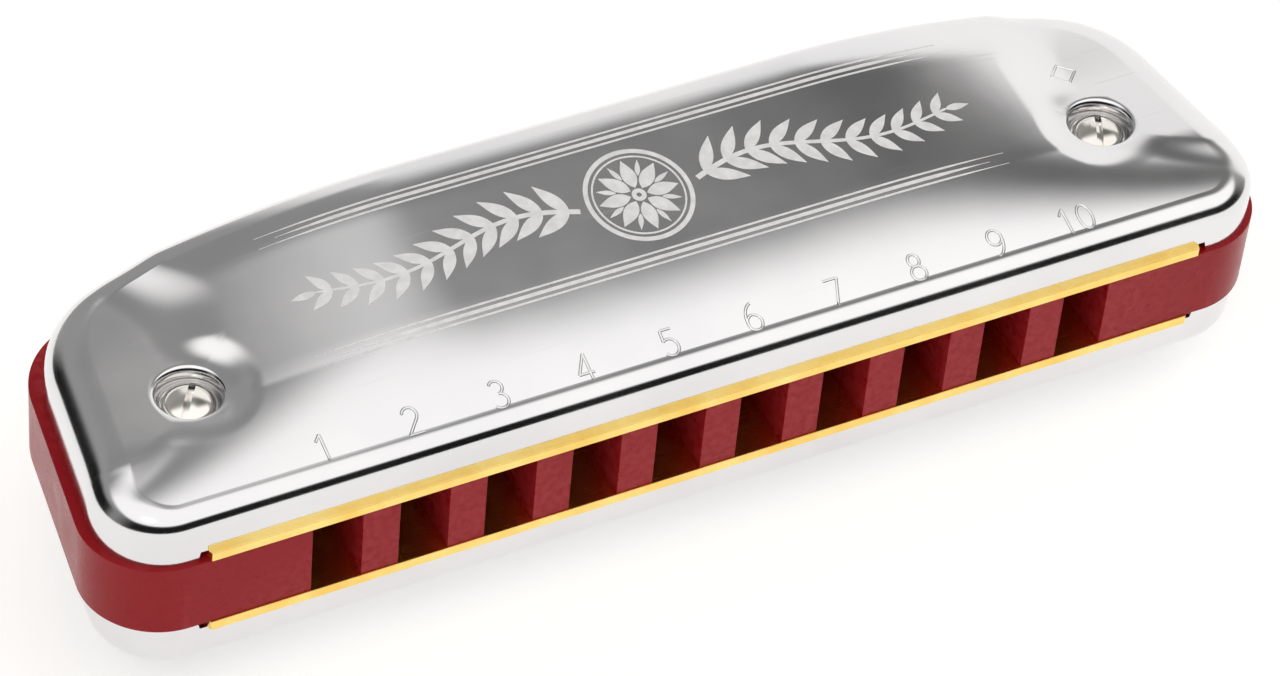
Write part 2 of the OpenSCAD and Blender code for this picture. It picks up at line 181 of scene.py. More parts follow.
def stack(rings, closed_ends=True):
    """Faces between rings with the same number of points, one after another."""
    count = len(rings[0])
    points = [p for ring in rings for p in ring]
    faces = []
    for r in range(len(rings) - 1):
        for k in range(count):
            n = (k + 1) % count
            faces.append((r * count + k, r * count + n, (r + 1) * count + n, (r + 1) * count + k))
    if closed_ends:
        faces.append(tuple(range(count)))
        faces.append(tuple((len(rings) - 1) * count + k for k in range(count)))
    return points, faces


def circle(radius, height, sides):
    turns = [2 * math.pi * k / sides for k in range(sides)]
    return [(radius * math.cos(a), radius * math.sin(a), height) for a in turns]


def lathe(profile, sides=64):
    """A solid turned round +Z from (radius, height) pairs that start and end on the axis."""
    return stack([circle(radius, height, sides) for radius, height in profile])


def dome(radius, low, high, rim, steps=8):
    """Profile of a round head: a short straight rim, then a dome to the axis."""
    profile = [(radius, low), (radius, low + rim)]
    for k in range(1, steps):
        a = math.pi / 2 * k / steps
        profile.append((radius * math.cos(a), low + rim + (high - low - rim) * math.sin(a)))
    profile.append((radius * 0.02, high))
    return profile


def slab(outline, low, high):
    """A flat plate with an outline, between two heights."""
    return stack([[(x, y, z) for x, y in outline] for z in (low, high)])


def block(low, high):
    """A box between two corners."""
    (x0, y0, z0), (x1, y1, z1) = low, high
    return slab([(x0, y0), (x1, y0), (x1, y1), (x0, y1)], z0, z1)


def cut(thing, shapes):
    """Takes gathered shapes out of an object."""
    cutter = shapes.object(thing.name + "_cutter", None)
    boolean = thing.modifiers.new("cut", "BOOLEAN")
    boolean.operation = "DIFFERENCE"
    boolean.solver = "EXACT"
    boolean.object = cutter
    graph = bpy.context.evaluated_depsgraph_get()
    mesh = bpy.data.meshes.new_from_object(thing.evaluated_get(graph))
    thing.modifiers.clear()
    thing.data = mesh
    bpy.data.objects.remove(cutter)
    return thing


def bevel(thing, width, segments=2, angle=40):
    """Rounds an object's edges, and keeps its flat faces flat."""
    edge = thing.modifiers.new("rounded_edges", "BEVEL")
    edge.width = width * MM
    edge.segments = segments
    edge.limit_method = "ANGLE"
    edge.angle_limit = math.radians(angle)
    edge.harden_normals = True
    return thing


# ---- Outlines ----
def side(half, front, front_r, back, back_r, n_corner, n_end):
    """Right-hand side of an outline from front to back: points, inward normals and
    shares 0..3, for the front corner, the straight end and the back corner."""
    cf = np.array([half - front_r, front + front_r])
    cb_y = back - back_r
    cb_x = cf[0] + (front_r - back_r - (cb_y - cf[1]) * math.sin(END_TAPER)) / math.cos(END_TAPER)
    cb = np.array([cb_x, cb_y])
    out = np.array([math.cos(END_TAPER), math.sin(END_TAPER)])
    low, high = cf + front_r * out, cb + back_r * out
    points, normals, shares = [], [], []

    def add(point, ray, share):
        points.append(point)
        normals.append(-ray)
        shares.append(share)

    def corner(centre, radius, start, end, share):
        for k in range(n_corner + 1):
            a = start + (end - start) * k / n_corner
            ray = np.array([math.cos(a), math.sin(a)])
            add(centre + radius * ray, ray, share + k / n_corner)

    corner(cf, front_r, -math.pi / 2, END_TAPER, 0)
    for k in range(1, n_end):
        add(mix(low, high, k / n_end), out, 1 + k / n_end)
    corner(cb, back_r, END_TAPER, math.pi / 2, 2)
    return np.array(points), np.array(normals), np.array(shares)


def mirrored_outline(right):
    return [tuple(p) for p in right] + [(-p[0], p[1]) for p in reversed(right)]


# ---- Shape of the covers' outer skin ----
# The shelf stands a little higher here than on the CAD covers, and the dome and the
# dimples round the screws have a finer profile.
SHELF_TOP = 9.2
DIMPLE_RADIUS = 2.5
STEEP_TO = 0.42
EVEN_TO = 0.85
FRONT_ARCH = 0.45  # share of the ridge's arch that the front edge follows
FULL_ARCH_FROM = -4.0
FRONT_STEEPNESS = 2.1
SHELF_EDGE = 35.4
SHELF_FALL = 6.4
SHELF_DIP = 0.9
SHELF_DIP_FROM = -5.0
SHELF_RISE = 0.1
SHELF_RISE_FROM = 2.5
SEAT_BLEND = 2.8
FRONT_FLARE = 15.5
FLARE_FROM = -2.5
FLARE_RUN = 8.5
FLARE_BEND = 1.25
BACK_FLARE = 4.5
BACK_FLARE_FROM = 5.0
BACK_FLARE_RUN = 8.0

COVER_FRONT_R = FRONT_RADIUS - COVER_INSET
COVER_BACK_R = COVER_CORNER
DOME_START = COVER_FRONT + FRONT_SHOULDER


def past_flat(x):
    """Share of the ridge's fall that lies between its straight stretch and a point."""
    return np.maximum(0, (np.abs(x) - FLAT_HALF) / RIDGE_RUN)


def bow(x):
    return BACK_BOW * np.maximum(0, 1 - past_flat(x) ** 2)


def dome_edge(y):
    """Half length of the dome, where it starts to fall to the shelf."""
    front = FRONT_FLARE * (np.maximum(0, FLARE_FROM - y) / FLARE_RUN) ** FLARE_BEND
    back = BACK_FLARE * (np.maximum(0, y - BACK_FLARE_FROM) / BACK_FLARE_RUN) ** 2
    return SHELF_EDGE + front + back


def climb(t):
    """Height reached at share t of the way from bead to ridge: steep, even, level."""
    a = np.minimum(t, STEEP_TO)
    b = np.clip(t - STEEP_TO, 0, EVEN_TO - STEEP_TO)
    c = np.maximum(t - EVEN_TO, 0)
    steep = a + (FRONT_STEEPNESS - 1) * (a - a * a / (2 * STEEP_TO))
    return steep + b + c - c * c / (2 * (1 - EVEN_TO))


def shelf_z(y):
    """Height of the shelf: level at the screw, lower in front and higher behind."""
    dip = np.maximum(0, (SHELF_DIP_FROM - y) / (SHELF_DIP_FROM - DOME_START)) ** 2
    rise = smooth((y - SHELF_RISE_FROM) / (COVER_BACK - BACK_SHOULDER - SHELF_RISE_FROM))
    return SHELF_TOP - SHELF_DIP * dip + SHELF_RISE * rise


def cover_z(x, y):
    """Height of the upper cover's outer skin inside its shoulders."""
    ridge_y = COVER_BACK - BACK_SHOULDER + bow(x)
    t = np.clip((y - DOME_START) / (ridge_y - DOME_START), 0, 1)
    follow = mix(FRONT_ARCH, 1, np.clip((y - DOME_START) / (FULL_ARCH_FROM - DOME_START), 0, 1))
    ridge = RIDGE_TOP - RIDGE_ARCH * past_flat(x) ** 2 * follow
    risen = BEAD_TOP + (ridge - BEAD_TOP) * climb(t) / climb(1)
    fall = smooth((np.abs(x) - dome_edge(y)) / SHELF_FALL)
    off_screw = np.hypot(np.abs(x) - SCREW_X, y - SCREW_Y) - DIMPLE_RADIUS - SHEET
    level = 1 - smooth(off_screw / SEAT_BLEND)
    return mix(mix(risen, shelf_z(y), fall), SHELF_TOP, level)


def skin_z(x, y):
    """The same, with the rounded bead along the front edge."""
    over = np.clip((DOME_START - y) / FRONT_SHOULDER, 0, 1)
    return cover_z(x, np.maximum(y, DOME_START)) - FRONT_DROP * (1 - np.sqrt(1 - over * over))


def along_side(share, front, end, back):
    """A size that changes along an outline's front and back corners."""
    return np.where(share < 1, mix(front, end, smooth(share)), mix(end, back, smooth(share - 2)))


# ---- Covers ----
INNER_CELLS = 50  # cells of half the length over the plain dome
OUTER_CELLS = 56  # and over the shelf with its screw seat
INNER_SHARE = 0.72  # share of the half length that the first ones take
CORNER_CELLS = 18
END_CELLS = 60
SHOULDER_CELLS = 10
SEAT_WINDOW = 4.3  # half size of the gap in the grid round each seat
SEAT_BRIDGE = 6  # rings from that gap to the first circle
SEAT_RIM = 0.5  # width of the rolled rim outside the dimple
SEAT_FILLET = 0.3  # radius of the corner at the dimple's foot
SEAT_FLOOR = 1.8  # radius of a ring on the dimple's flat floor
SEAT_HOLE = 1.1
RIM_STEPS = 10
FILLET_STEPS = 5
FACING = 0.99  # cosine from which an edge faces straight ahead
LIP_TURN = 1.0  # length over which the lip turns into the end skirt


def seat_profile():
    """Outer skin of the pressed seat, as (radius, height) from rim to hole."""
    profile = []
    roll = SHELF_TOP - SEAT_Z - SEAT_FILLET
    for k in range(RIM_STEPS + 1):
        a = math.pi / 2 * k / RIM_STEPS
        profile.append((DIMPLE_RADIUS + SEAT_RIM * (1 - math.sin(a)),
                        SHELF_TOP - roll * (1 - math.cos(a))))
    for k in range(1, FILLET_STEPS + 1):
        a = math.pi / 2 * k / FILLET_STEPS
        profile.append((DIMPLE_RADIUS - SEAT_FILLET * (1 - math.cos(a)),
                        SEAT_Z + SEAT_FILLET * (1 - math.sin(a))))
    return profile + [(SEAT_FLOOR, SEAT_Z), (SEAT_HOLE, SEAT_Z)]


SEAT_PROFILE = seat_profile()
SEAT_UNDERSIDE = 0.42  # by which the inner skin's wall is wider
UNDERSIDE_FROM = 1.2  # radius from which it widens, over the same distance


class CoverMesh:
    """The upper cover as a thin shell: a grid over the dome, rolled shoulders, a
    skirt or lip all round, and two round screw seats set into the grid."""

    def __init__(self):
        self.ends, self.normals, self.shares = side(
            COVER_HALF, COVER_FRONT, COVER_FRONT_R, COVER_BACK, COVER_BACK_R,
            CORNER_CELLS, END_CELLS)
        self.shoulders = along_side(self.shares, FRONT_SHOULDER, END_SHOULDER, BACK_SHOULDER)
        self.drops = along_side(self.shares, FRONT_DROP, END_DROP, BACK_DROP)
        self.row_ends = self.ends + self.normals * self.shoulders[:, None]
        inner = np.linspace(0, INNER_SHARE, INNER_CELLS + 1)
        outer = np.linspace(INNER_SHARE, 1, OUTER_CELLS + 1)[1:]
        half = np.concatenate([inner, outer])
        self.across = np.concatenate([-half[:0:-1], half])
        self.columns = len(self.across)
        self.rows = len(self.row_ends)
        self.windows = [self.window(-1), self.window(1)]
        self.edge = self.edge_loop()

    def grid_xy(self, i, j):
        end = self.row_ends[j]
        x = end[0] * self.across[i]
        bowed = smooth(end[1] / (COVER_BACK - BACK_SHOULDER))
        return x, end[1] + bowed * bow(x)

    def window(self, sign):
        """First and last column and row of the gap left for one screw seat."""
        middle = int(np.argmin(np.abs(self.row_ends[:, 1] - SCREW_Y)))
        x = self.row_ends[middle][0] * self.across
        inside = np.nonzero(np.abs(x - sign * SCREW_X) < SEAT_WINDOW)[0]
        y_inside = np.nonzero(np.abs(self.row_ends[:, 1] - SCREW_Y) < SEAT_WINDOW)[0]
        return inside[0], inside[-1], y_inside[0], y_inside[-1]

    def edge_loop(self):
        """Rows of (grid column, grid row, outline point, inward normal, shoulder, drop)."""
        last = self.rows - 1
        loop = []

        def end(i, j, flip):
            return i, j, self.ends[j] * flip, self.normals[j] * flip, self.shoulders[j], self.drops[j]

        for i in range(self.columns):
            x = self.row_ends[0][0] * self.across[i]
            loop.append((i, 0, (x, COVER_FRONT), (0, 1), FRONT_SHOULDER, FRONT_DROP))
        loop += [end(self.columns - 1, j, (1, 1)) for j in range(1, last + 1)]
        for i in range(self.columns - 2, -1, -1):
            x = self.row_ends[last][0] * self.across[i]
            back = (x, COVER_BACK + float(bow(x)))
            loop.append((i, last, back, (0, -1), BACK_SHOULDER, BACK_DROP))
        return loop + [end(0, j, (-1, 1)) for j in range(last - 1, 0, -1)]

    def window_loop(self, window):
        i0, i1, j0, j1 = window
        return ([(i, j0) for i in range(i0, i1)] + [(i1, j) for j in range(j0, j1)]
                + [(i, j1) for i in range(i1, i0, -1)] + [(i0, j) for j in range(j1, j0, -1)])

    def skin(self, depth):
        """Points of one skin: depth is 0 for the outer one and the sheet's thickness
        for the inner one."""
        points = []
        for j in range(self.rows):
            i = np.arange(self.columns)
            x, y = self.grid_xy(i, j)
            points += list(zip(x, y, cover_z(x, y) - depth))
        origin, inward, width, drop = (np.array([edge[k] for edge in self.edge], float)
                                       for k in (2, 3, 4, 5))
        inner = origin + inward * width[:, None]
        top = cover_z(inner[:, 0], inner[:, 1])
        for k in range(SHOULDER_CELLS - 1, -1, -1):
            a = math.pi / 2 * k / SHOULDER_CELLS
            p = origin + inward * (width - (width - depth) * math.cos(a))[:, None]
            z = top - drop + (drop - depth) * math.sin(a)
            points += list(zip(p[:, 0], p[:, 1], z))
        foot = origin + inward * depth
        is_front = (inward[:, 1] > FACING) & (np.abs(inner[:, 0]) < SKIRT_STEP)
        skirt = np.where(is_front, PLATE_FACE, COMB_FACE)
        is_lip = inward[:, 1] < -FACING
        turned = smooth((np.abs(inner[:, 0]) - LIP_END) / LIP_TURN + 0.5)
        lip = mix(top - LIP_HEIGHT, COMB_FACE, turned)
        points += list(zip(foot[:, 0], foot[:, 1], np.where(is_lip, lip, skirt)))
        for window, sign in zip(self.windows, (-1, 1)):
            points += self.seat(window, sign, depth)
        return points

    def seat(self, window, sign, depth):
        """Rings from the gap in the grid to the screw's hole."""
        centre = np.array([sign * SCREW_X, SCREW_Y])
        rim = np.array([self.grid_xy(i, j) for i, j in self.window_loop(window)])
        rays = rim - centre
        rays /= np.linalg.norm(rays, axis=1)[:, None]
        points = []
        first = centre + rays * SEAT_PROFILE[0][0]
        for k in range(1, SEAT_BRIDGE):
            p = mix(rim, first, k / SEAT_BRIDGE)
            points += list(zip(p[:, 0], p[:, 1], cover_z(p[:, 0], p[:, 1]) - depth))
        for radius, height in SEAT_PROFILE:
            wider = SEAT_UNDERSIDE * smooth((radius - UNDERSIDE_FROM) / UNDERSIDE_FROM) if depth else 0
            p = centre + rays * (radius + wider)
            if radius == SEAT_PROFILE[0][0]:
                p = first
            points += [(q[0], q[1], height - depth) for q in p]
        return points

    def skin_faces(self):
        """Faces of one skin, and the loops of points along its open edges."""
        faces = []
        for j in range(self.rows - 1):
            for i in range(self.columns - 1):
                if any(i0 <= i < i1 and j0 <= j < j1 for i0, i1, j0, j1 in self.windows):
                    continue
                a = j * self.columns + i
                faces.append((a, a + 1, a + 1 + self.columns, a + self.columns))
        base = self.rows * self.columns

        def roll(ring, count):
            """Adds rings of faces beyond a loop of points, and gives the last loop."""
            nonlocal base
            for _ in range(count):
                following = [base + k for k in range(len(ring))]
                faces.extend(self.between(ring, following))
                base += len(ring)
                ring = following
            return ring

        edge = [j * self.columns + i for i, j, *_ in self.edge]
        open_loops = [roll(edge, SHOULDER_CELLS + 1)]
        for window in self.windows:
            rim = [j * self.columns + i for i, j in self.window_loop(window)]
            open_loops.append(roll(rim, SEAT_BRIDGE - 1 + len(SEAT_PROFILE)))
        return faces, open_loops

    @staticmethod
    def between(a, b):
        n = len(a)
        return [(a[k], a[(k + 1) % n], b[(k + 1) % n], b[k]) for k in range(n)]

    def shell(self):
        outer, inner = self.skin(0), self.skin(SHEET)
        faces, open_loops = self.skin_faces()
        offset = len(outer)
        under = [tuple(offset + k for k in reversed(face)) for face in faces]
        rims = []
        for loop in open_loops:
            rims += self.between(loop, [offset + k for k in loop])
        return outer + inner, faces + under + rims


def build_covers(steel):
    points, faces = CoverMesh().shell()
    for name, node, flip in (("upper_cover_shell", "top_cover", 1),
                             ("lower_cover_shell", "bottom_cover", -1)):
        turned = [(x, y, flip * z) for x, y, z in points]
        shell = new_object(name, turned, faces, steel)
        place(shell, "body", "cover_steel", node)


# ---- Marks on the upper cover ----
def marked_strip(path, half_widths, heights, closed=False):
    """A closed strip that follows the cover's skin along a path, with a row of
    heights above the skin from one edge to the other."""
    path = np.array(path, float)
    n = len(path)
    if closed:
        ahead = np.roll(path, -1, 0) - np.roll(path, 1, 0)
    else:
        ahead = np.gradient(path, axis=0)
    ahead /= np.linalg.norm(ahead, axis=1)[:, None]
    left = np.stack([-ahead[:, 1], ahead[:, 0]], 1)
    widths = np.broadcast_to(np.asarray(half_widths, float), (n,))
    offsets = np.linspace(1, -1, len(heights))
    rings = []
    for k in range(n):
        top = [path[k] + left[k] * widths[k] * o for o in offsets]
        ring = [(p[0], p[1], float(skin_z(p[0], p[1])) + h) for p, h in zip(top, heights)]
        ring += [(p[0], p[1], float(skin_z(p[0], p[1])) - MARK_ROOT) for p in (top[-1], top[0])]
        rings.append(ring)
    if closed:
        return stack(rings + [rings[0]], closed_ends=False)
    return stack(rings)


MARK_ROOT = 0.06  # depth to which a mark reaches below the skin
STAMPED = [0.0, 0.045, 0.065, 0.045, 0.0]  # rounded ridge of a stamped stroke
ETCHED = [0.014, 0.016, 0.014]  # nearly flat frosted strip


def arc(cx, cy, rx, ry, start, end, steps=14):
    """Points on an ellipse between two angles in degrees."""
    turns = np.radians(np.linspace(start, end, steps + 1))
    return [(cx + rx * math.cos(a), cy + ry * math.sin(a)) for a in turns]


def line(a, b, step=0.08):
    """Points along a straight stroke, close enough together to follow a surface."""
    count = max(1, int(math.dist(a, b) / step))
    return [tuple(mix(np.array(a), np.array(b), k / count)) for k in range(count + 1)]


def strokes(*corners):
    return [line(a, b) for a, b in zip(corners, corners[1:])]


# Strokes of each digit in a box one unit high and 0.6 wide
DIGITS = {
    "0": [arc(0.3, 0.5, 0.27, 0.48, 90, 448, 28)],
    "1": strokes((0.12, 0.76), (0.34, 1.0), (0.34, 0.0)),
    "2": [arc(0.3, 0.72, 0.26, 0.27, 165, -35) + line((0.5, 0.54), (0.04, 0.02)),
          line((0.04, 0.02), (0.58, 0.02))],
    "3": [arc(0.28, 0.75, 0.24, 0.24, 150, -85), arc(0.28, 0.26, 0.28, 0.26, 85, -150)],
    "4": strokes((0.44, 0.0), (0.44, 1.0), (0.02, 0.3), (0.6, 0.3)),
    "5": [*strokes((0.54, 0.98), (0.14, 0.98), (0.1, 0.56)),
          arc(0.28, 0.32, 0.29, 0.31, 128, -145, 18)],
    "6": [arc(0.3, 0.29, 0.27, 0.29, 90, 448, 24), arc(0.47, 0.32, 0.44, 0.68, 180, 98)],
    "7": strokes((0.03, 0.98), (0.57, 0.98), (0.2, 0.0)),
    "8": [arc(0.3, 0.76, 0.21, 0.23, 90, 448, 22), arc(0.3, 0.27, 0.28, 0.27, 90, 448, 24)],
    "9": [arc(0.3, 0.71, 0.27, 0.29, 90, 448, 24), arc(0.13, 0.68, 0.44, 0.68, 0, -82)],
}
DIGIT_HEIGHT = 2.3
DIGIT_MIDDLE_Y = -10.75
DIGIT_STROKE = 0.13
DIGIT_ADVANCE = 0.78


def hole_x(i):
    return (i - (HOLES + 1) / 2) * HOLE_PITCH


def build_hole_numbers(steel):
    """Stamped numbers 1 to 10 over the holes."""
    marks = Shapes()
    for i in range(1, HOLES + 1):
        text = str(i)
        width = (0.6 + DIGIT_ADVANCE * (len(text) - 1)) * DIGIT_HEIGHT
        for place_no, digit in enumerate(text):
            x0 = hole_x(i) - width / 2 + place_no * DIGIT_ADVANCE * DIGIT_HEIGHT
            y0 = DIGIT_MIDDLE_Y - DIGIT_HEIGHT / 2
            for stroke in DIGITS[digit]:
                path = [(x0 + u * DIGIT_HEIGHT, y0 + v * DIGIT_HEIGHT) for u, v in stroke]
                marks.add(*marked_strip(path, DIGIT_STROKE, STAMPED))
    place(marks.object("stamped_hole_numbers", steel, 60), "body", "cover_steel")


DIAMOND_AT = (41.3, 4.6)
DIAMOND_SIZE = 1.15


def build_key_mark(steel):
    """A plain diamond stamped on the right-hand shelf."""
    x, y = DIAMOND_AT
    turns = [math.pi / 2 * k for k in range(5)]
    corners = [(x + DIAMOND_SIZE * math.cos(a), y + DIAMOND_SIZE * math.sin(a)) for a in turns]
    marks = Shapes()
    for stroke in strokes(*corners):
        marks.add(*marked_strip(stroke, DIGIT_STROKE, STAMPED))
    place(marks.object("stamped_diamond", steel, 60), "body", "cover_steel")


# Etched ornament: a rosette between two leafy sprays, and framing lines
ORNAMENT_Y = 2.6
ROSETTE_RADIUS = 4.4
PETALS = 8
PETAL = (0.75, 2.8, 0.62)  # distance from the middle, length and half width
SEPAL = (1.9, 1.6, 0.22)
SPRAY_START = 5.3
SPRAY_END = 28.5
SPRAY_WAVE = 1.3
LEAVES = 11
LEAF_SPREAD = 42
LINE_TAPER = 12  # a line's ends taper over this share of its length
# Framing lines, as (distance from the middle, half length, half width)
FRAME_LINES = [(5.6, 31.0, 0.09), (6.15, 29.4, 0.16), (6.7, 31.0, 0.09)]


def leaf(start, turn, length, half_width, steps=10):
    """Path and half widths of a pointed leaf."""
    s = np.linspace(0, 1, steps + 1)
    path = [(start[0] + length * u * math.cos(turn), start[1] + length * u * math.sin(turn)) for u in s]
    return path, np.maximum(0.02, half_width * np.sin(math.pi * s ** 0.8))


def spray_point(u, sign):
    """A point at share u along the wavy stem of one spray."""
    x = mix(SPRAY_START, SPRAY_END, u)
    y = ORNAMENT_Y + SPRAY_WAVE * math.sin(2 * math.pi * u) * (1 - 0.4 * u)
    return np.array([sign * x, y])


def build_ornament(etched):
    marks = Shapes()

    def add(path, widths, closed=False):
        marks.add(*marked_strip(path, widths, ETCHED, closed))

    for radius, width in ((ROSETTE_RADIUS, 0.2), (ROSETTE_RADIUS - 0.55, 0.08)):
        add(arc(0, ORNAMENT_Y, radius, radius, 0, 360 - 5, 71), width, True)
    for k in range(2 * PETALS):
        turn = math.pi * k / PETALS
        start, length, half = SEPAL if k % 2 else PETAL
        at = (start * math.cos(turn), ORNAMENT_Y + start * math.sin(turn))
        add(*leaf(at, turn, length, half))
    add(arc(0, ORNAMENT_Y, 0.42, 0.42, 0, 340, 17), 0.2, True)
    for sign in (-1, 1):
        stem = [spray_point(u, sign) for u in np.linspace(0, 1, 60)]
        add(stem, np.linspace(0.24, 0.10, 60))
        for k in range(LEAVES):
            u = (k + 0.4) / LEAVES
            at, beyond = spray_point(u, sign), spray_point(u + 0.01, sign)
            along = math.atan2(beyond[1] - at[1], beyond[0] - at[0])
            size = 3.8 - 1.4 * u
            for spread in (-1, 1):
                add(*leaf(at, along + spread * math.radians(LEAF_SPREAD), size, 0.6 - 0.17 * u))
        tip = spray_point(1, sign)
        add(*leaf(tip, 0 if sign > 0 else math.pi, 2.2, 0.34))
    for offset, half, width in FRAME_LINES:
        for up in (-1, 1):
            y = ORNAMENT_Y + up * offset
            path = line((-half, y), (half, y), step=0.5)
            from_start = np.linspace(0, LINE_TAPER, len(path))
            taper = np.minimum(1, from_start) * np.minimum(1, from_start[::-1])
            add(path, np.maximum(0.02, width * taper))
    place(marks.object("etched_ornament", etched, 60), "body", "cover_steel")


# ---- Comb ----
COMB_EDGE = 0.2
FIRST_CHAMBER_BACK = 9.4
LAST_CHAMBER_BACK = 4.4
PILOT_DEPTH = 2.4
PILOT_RADIUS = 0.6
COMB_BORE = 1.2
CUT = 1.0  # overrun of a cutting shape past a face


def chamber_back(i):
    return mix(FIRST_CHAMBER_BACK, LAST_CHAMBER_BACK, (i - 1) / (HOLES - 1))


def build_comb(plastic):
    right = side(COMB_HALF, COMB_FRONT, FRONT_RADIUS, COMB_BACK, BACK_RADIUS, 24, 6)[0]
    outline = mirrored_outline(right)
    # The notches of the holes lie along the front edge, which closes the outline
    for i in range(1, HOLES + 1):
        x, back = hole_x(i), chamber_back(i)
        outline += [(x - HOLE_WIDTH / 2, COMB_FRONT), (x - HOLE_WIDTH / 2, back),
                    (x + HOLE_WIDTH / 2, back), (x + HOLE_WIDTH / 2, COMB_FRONT)]
    points, faces = slab(outline, -COMB_FACE, COMB_FACE)
    comb = new_object("comb_body", points, faces, plastic)
    holes = Shapes()
    for at in SCREWS:
        bore = lathe([(COMB_BORE, -COMB_FACE - CUT), (COMB_BORE, COMB_FACE + CUT)], 32)
        holes.add(*bore, at=at)
    for x, y in PLATE_SCREWS:
        for flip in (False, True):
            pilot = lathe([(PILOT_RADIUS, COMB_FACE - PILOT_DEPTH),
                           (PILOT_RADIUS, COMB_FACE + CUT)], 24)
            holes.add(*pilot, at=(x, y, 0), flip=flip)
    cut(comb, holes)
    bevel(comb, COMB_EDGE, 3)
    place(comb, "body", "red_plastic", "comb")


# ---- Reed plates ----
REED_WIDTH = 2.0
REED_THICKNESS = 0.25
REED_CLEARANCE = 0.08
PAD_LENGTH = 2.8
PAD_THICKNESS = 0.4
RIVET_RADIUS = 0.55
PLATE_FRONT_HALF = 44.4
PLATE_BORE = 1.1
FRONT_STEP = 1.9  # depth of the plate's narrower front strip
STEP_LEAN = 0.7  # by which that strip widens towards the back
STEP_SLOPE = 0.4  # depth of the slope out to the full width
PLATE_CORNER = 6.4
PLATE_EDGE = 0.07


def reed_place(kind, i):
    """Box of a CAD tongue, and the direction from its root to its tip."""
    low, high = box_mm(f"{kind}_reed_{i}")
    return low, high, (1 if kind == "blow" else -1)


def pad_middle(kind, i):
    """Y of the middle of a reed's riveted pad."""
    low, high, direction = reed_place(kind, i)
    if direction > 0:
        return low[1] - REED_CLEARANCE - PAD_LENGTH / 2
    return high[1] + REED_CLEARANCE + PAD_LENGTH / 2


def build_plate(name, kind, flip, brass):
    """One plate in its upper position, turned over if flip is set."""
    step_y = PLATE_FRONT + FRONT_STEP
    right = [(PLATE_FRONT_HALF, PLATE_FRONT), (PLATE_FRONT_HALF + STEP_LEAN, step_y),
             (PLATE_HALF, step_y + STEP_SLOPE), (PLATE_HALF, PLATE_BACK - PLATE_CORNER),
             (PLATE_HALF - PLATE_CORNER, PLATE_BACK)]
    blank = Shapes()
    blank.add(*slab(mirrored_outline(right), COMB_FACE, PLATE_FACE), flip=flip)
    plate = blank.object(name + "_sheet", brass)
    holes = Shapes()
    for i in range(1, HOLES + 1):
        low, high, _ = reed_place(kind, i)
        half = REED_WIDTH / 2 + REED_CLEARANCE
        slot = block((hole_x(i) - half, low[1] - REED_CLEARANCE, COMB_FACE - CUT),
                     (hole_x(i) + half, high[1] + REED_CLEARANCE, PLATE_FACE + CUT))
        holes.add(*slot, flip=flip)
        bore = lathe([(RIVET_RADIUS, COMB_FACE - CUT), (RIVET_RADIUS, PLATE_FACE + CUT)], 24)
        holes.add(*bore, at=(hole_x(i), pad_middle(kind, i), 0), flip=flip)
    for x, y, radius in ([(x, y, PLATE_BORE) for x, y, _ in SCREWS]
                         + [(x, y, PILOT_RADIUS) for x, y in PLATE_SCREWS]):
        bore = lathe([(radius, COMB_FACE - CUT), (radius, PLATE_FACE + CUT)], 32)
        holes.add(*bore, at=(x, y, 0), flip=flip)
    cut(plate, holes)
    bevel(plate, PLATE_EDGE, 2)
    place(plate, "body", "plate_brass", name)


# ---- Reeds ----
TIP_WIDTH = 1.7
TIP_THICKNESS = 0.17
TONGUE_EDGE = 0.05
TONGUE_STEPS = 16


def build_tongue(kind, i, brass):
    """A tapered tongue with broken edges, thinnest two thirds of the way to its tip."""
    low, high, direction = reed_place(kind, i)
    root_y, tip_y = (low[1], high[1]) if direction > 0 else (high[1], low[1])
    middle_z = (low[2] + high[2]) / 2
    rings = []
    e = TONGUE_EDGE
    for k in range(TONGUE_STEPS + 1):
        u = k / TONGUE_STEPS
        half = mix(REED_WIDTH, TIP_WIDTH, u) / 2
        thick = mix(REED_THICKNESS, TIP_THICKNESS, math.sin(math.pi * min(1, u * 0.75))) / 2
        y = mix(root_y, tip_y, u)
        rings.append([(hole_x(i) + a, y, middle_z + b) for a, b in (
            (-half, -thick + e), (-half + e, -thick), (half - e, -thick), (half, -thick + e),
            (half, thick - e), (half - e, thick), (-half + e, thick), (-half, thick - e))])
    tongue = new_object(f"{kind}_tongue_{i}", *stack(rings), brass)
    place(tongue, f"{kind}_tongue_{i}", "reed_brass", f"{kind}_reed_{i}")


PAD_CORNER = 0.35
RIVET_RIM = 0.3  # by which a rivet's head is wider than its shank
RIVET_HEAD = 0.35
RIVET_EDGE = 0.08
RIVET_PLAY = 0.01


